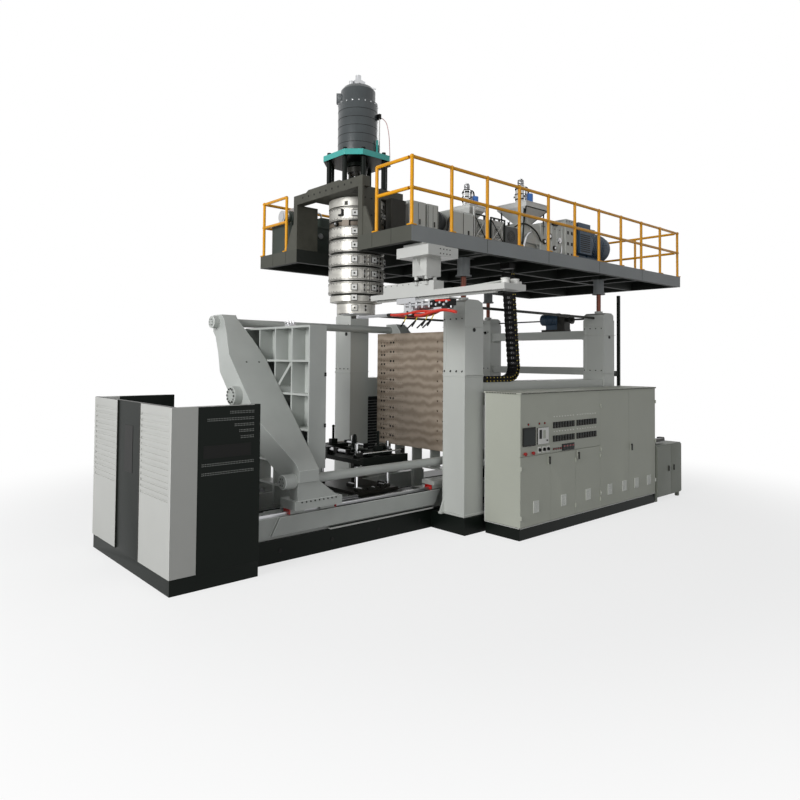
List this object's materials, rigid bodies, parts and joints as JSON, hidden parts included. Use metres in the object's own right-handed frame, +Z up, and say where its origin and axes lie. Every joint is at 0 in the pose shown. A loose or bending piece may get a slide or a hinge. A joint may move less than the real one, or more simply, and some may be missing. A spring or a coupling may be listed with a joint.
{
  "type": "blow moulding machine",
  "caption": "Extrusion blow moulding machine: sliding clamp with platens, accumulator head and extruders on a railed lifting platform, end fence, control cabinet.",
  "frame": {"origin": "On the floor under the vertical axis of the extrusion head, midway between the platens and the two sides of the clamp.", "axes": "X runs along the clamp from the fenced end to the extruder end, +Y points away from the operator's side with the control cabinet, +Z is up."},
  "size_m": [10.435, 5.045, 7],
  "materials": {
    "black_paint": "satin black paint",
    "machine_grey": "satin grey paint",
    "light_grey": "satin light grey paint",
    "cabinet_grey": "fine textured grey paint",
    "deck_grey": "satin dark grey paint",
    "safety_yellow": "gloss yellow paint",
    "teal_paint": "satin teal paint",
    "motor_blue": "satin dark blue paint",
    "brown_steel": "rust-toned brown primer",
    "screw_steel": "greased turned steel, red-brown",
    "bright_steel": "ground steel",
    "chrome_rod": "hard chrome",
    "red_plastic": "moulded red plastic",
    "black_plastic": "moulded black plastic"
  },
  "bodies": {
    "frame": {"base_frame": "black_paint", "guide_beds": "machine_grey", "linear_rails": "bright_steel", "gantry": "machine_grey", "lift_drive": "machine_grey", "fence_light_panels": "light_grey", "fence_dark_panels": "black_paint", "control_cabinet": "cabinet_grey", "switchgear": "light_grey", "instrument_panel": "cabinet_grey", "side_cabinet": "cabinet_grey", "spreader_base": "black_paint"},
    "clamp": {"left_yoke": "machine_grey", "right_yoke": "machine_grey", "tie_bars": "bright_steel", "tie_bar_nuts": "machine_grey", "clamp_cylinder": "machine_grey", "right_platen": "brown_steel"},
    "moving_platen": {"left_platen": "machine_grey", "clamp_ram": "chrome_rod"},
    "ram_sleeve": {"ram_sleeve": "chrome_rod"},
    "pinion": {"sync_pinion": "bright_steel"},
    "platform": {"platform_frame": "deck_grey", "jack_screws": "screw_steel", "guard_rails": "safety_yellow", "head_bridge": "light_grey", "head_barrel": "machine_grey", "heater_bands": "light_grey", "die_ring": "machine_grey", "head_columns": "black_paint", "head_top_plate": "teal_paint", "ram_cylinder": "black_paint", "extruder_barrels": "light_grey", "extruder_gearboxes": "light_grey", "extruder_motors": "motor_blue", "hoppers": "light_grey", "deck_units": "light_grey", "takeout_beam": "light_grey", "drag_chain": "black_plastic"},
    "die_core": {"die_core": "bright_steel"},
    "shot_ram": {"shot_ram": "bright_steel"},
    "spreader_table": {"spreader_table": "black_paint"},
    "spreader_arm_near": {"spreader_arm_near": "black_paint"},
    "spreader_arm_far": {"spreader_arm_far": "black_paint"},
    "takeout_carriage": {"takeout_carriage": "light_grey"},
    "gripper_left": {"gripper_finger_left": "bright_steel"},
    "gripper_right": {"gripper_finger_right": "bright_steel"},
    "door_one": {"door_one": "cabinet_grey"},
    "door_two": {"door_two": "cabinet_grey"},
    "door_three": {"door_three": "cabinet_grey"},
    "door_four": {"door_four": "cabinet_grey"},
    "door_five": {"door_five": "cabinet_grey"},
    "handle_one": {"handle_one": "bright_steel"},
    "handle_three": {"handle_three": "bright_steel"},
    "handle_five": {"handle_five": "bright_steel"},
    "selector_one": {"selector_one": "black_plastic"},
    "selector_two": {"selector_two": "black_plastic"},
    "selector_three": {"selector_three": "black_plastic"},
    "push_button_one": {"push_button_one": "red_plastic"},
    "push_button_two": {"push_button_two": "red_plastic"}
  },
  "joints": [
    {"name": "clamp_travel", "type": "slide", "parent": "frame", "child": "clamp", "axis": [-1, 0, 0], "range_m": [0, 0.45]},
    {"name": "platen_travel", "type": "slide", "parent": "frame", "child": "moving_platen", "axis": [1, 0, 0], "range_m": [0, 0.45]},
    {"name": "sleeve_travel", "type": "slide", "parent": "clamp", "child": "ram_sleeve", "axis": [1, 0, 0], "range_m": [0, 0.45]},
    {"name": "pinion_turn", "type": "hinge", "parent": "frame", "child": "pinion", "pos_m": [0, 0, 0.4], "axis": [0, 1, 0], "range_deg": [0, 322.5]},
    {"name": "platform_lift", "type": "slide", "parent": "frame", "child": "platform", "axis": [0, 0, 1], "range_m": [0, 0.35], "deforming": ["drag_chain"]},
    {"name": "core_travel", "type": "slide", "parent": "platform", "child": "die_core", "axis": [0, 0, -1], "range_m": [0, 0.025]},
    {"name": "shot_travel", "type": "slide", "parent": "platform", "child": "shot_ram", "axis": [0, 0, -1], "range_m": [0, 0.27]},
    {"name": "table_lift", "type": "slide", "parent": "frame", "child": "spreader_table", "axis": [0, 0, 1], "range_m": [0, 0.15]},
    {"name": "arm_near_travel", "type": "slide", "parent": "spreader_table", "child": "spreader_arm_near", "axis": [0, 1, 0], "range_m": [0, 0.4]},
    {"name": "arm_far_travel", "type": "slide", "parent": "spreader_table", "child": "spreader_arm_far", "axis": [0, -1, 0], "range_m": [0, 0.4]},
    {"name": "takeout_travel", "type": "slide", "parent": "platform", "child": "takeout_carriage", "axis": [0, -1, 0], "range_m": [0, 1.3]},
    {"name": "grip_left_travel", "type": "slide", "parent": "takeout_carriage", "child": "gripper_left", "axis": [1, 0, 0], "range_m": [0, 0.018]},
    {"name": "grip_right_travel", "type": "slide", "parent": "takeout_carriage", "child": "gripper_right", "axis": [-1, 0, 0], "range_m": [0, 0.018]},
    {"name": "door_one_hinge", "type": "hinge", "parent": "frame", "child": "door_one", "pos_m": [1.134, -2.337, 1], "axis": [0, 0, -1], "range_deg": [0, 110]},
    {"name": "door_two_hinge", "type": "hinge", "parent": "frame", "child": "door_two", "pos_m": [2.494, -2.337, 1], "axis": [0, 0, 1], "range_deg": [0, 90]},
    {"name": "door_three_hinge", "type": "hinge", "parent": "frame", "child": "door_three", "pos_m": [3.204, -2.337, 1], "axis": [0, 0, 1], "range_deg": [0, 90]},
    {"name": "door_four_hinge", "type": "hinge", "parent": "frame", "child": "door_four", "pos_m": [3.216, -2.337, 1], "axis": [0, 0, -1], "range_deg": [0, 90]},
    {"name": "door_five_hinge", "type": "hinge", "parent": "frame", "child": "door_five", "pos_m": [5.046, -2.337, 1], "axis": [0, 0, 1], "range_deg": [0, 90]},
    {"name": "handle_one_turn", "type": "hinge", "parent": "door_one", "child": "handle_one", "pos_m": [1.798, -2.32, 1.112], "axis": [0, 1, 0], "range_deg": [0, 90]},
    {"name": "handle_three_turn", "type": "hinge", "parent": "door_three", "child": "handle_three", "pos_m": [2.562, -2.32, 1.112], "axis": [0, -1, 0], "range_deg": [0, 90]},
    {"name": "handle_five_turn", "type": "hinge", "parent": "door_five", "child": "handle_five", "pos_m": [4.182, -2.32, 1.112], "axis": [0, -1, 0], "range_deg": [0, 90]},
    {"name": "selector_one_turn", "type": "hinge", "parent": "frame", "child": "selector_one", "pos_m": [1.575, -2.32, 1.24], "axis": [0, 1, 0], "range_deg": [-45, 45]},
    {"name": "selector_two_turn", "type": "hinge", "parent": "frame", "child": "selector_two", "pos_m": [1.685, -2.32, 1.24], "axis": [0, 1, 0], "range_deg": [-45, 45]},
    {"name": "selector_three_turn", "type": "hinge", "parent": "frame", "child": "selector_three", "pos_m": [1.785, -2.32, 1.24], "axis": [0, 1, 0], "range_deg": [-45, 45]},
    {"name": "push_button_one_press", "type": "slide", "parent": "frame", "child": "push_button_one", "axis": [0, 1, 0], "range_m": [0, 0.006], "stiffness_N_per_m": 400},
    {"name": "push_button_two_press", "type": "slide", "parent": "frame", "child": "push_button_two", "axis": [0, 1, 0], "range_m": [0, 0.006], "stiffness_N_per_m": 400}
  ],
  "couplings": [
    {"joint": "platen_travel", "follows": "clamp_travel", "ratio": 1},
    {"joint": "sleeve_travel", "follows": "clamp_travel", "ratio": 1},
    {"joint": "pinion_turn", "follows": "clamp_travel", "rad_per_m": 12.5},
    {"joint": "arm_far_travel", "follows": "arm_near_travel", "ratio": 1},
    {"joint": "grip_right_travel", "follows": "grip_left_travel", "ratio": 1}
  ]
}
